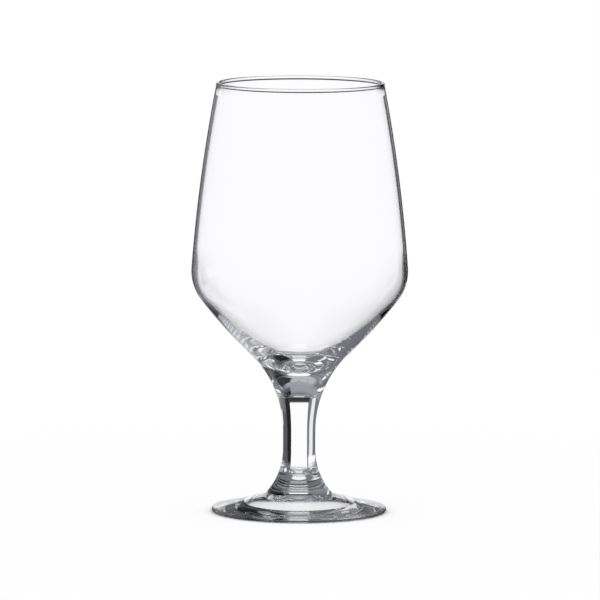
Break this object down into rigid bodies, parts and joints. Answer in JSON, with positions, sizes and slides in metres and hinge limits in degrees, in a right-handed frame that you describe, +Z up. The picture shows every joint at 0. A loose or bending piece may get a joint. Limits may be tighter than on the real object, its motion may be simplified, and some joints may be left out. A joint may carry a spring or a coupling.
{
  "type": "stemmed glass",
  "caption": "Clear stemmed drinking glass: tall tulip bowl on a tapered base, short flared stem with long flat facets, and a low sloping round foot.",
  "frame": {"origin": "centre of the flat ring under the foot that the glass rests on", "axes": "+Z up along the glass's axis, from the foot to the rim; one facet of the stem faces -Y, the front in the picture"},
  "size_m": [0.0906, 0.0906, 0.18],
  "materials": {
    "bowl_glass": "clear, fire-polished",
    "stem_glass": "clear, fire-polished",
    "foot_glass": "clear, fire-polished"
  },
  "bodies": {
    "root": {"bowl": "bowl_glass", "stem": "stem_glass", "foot": "foot_glass"}
  },
  "joints": []
}
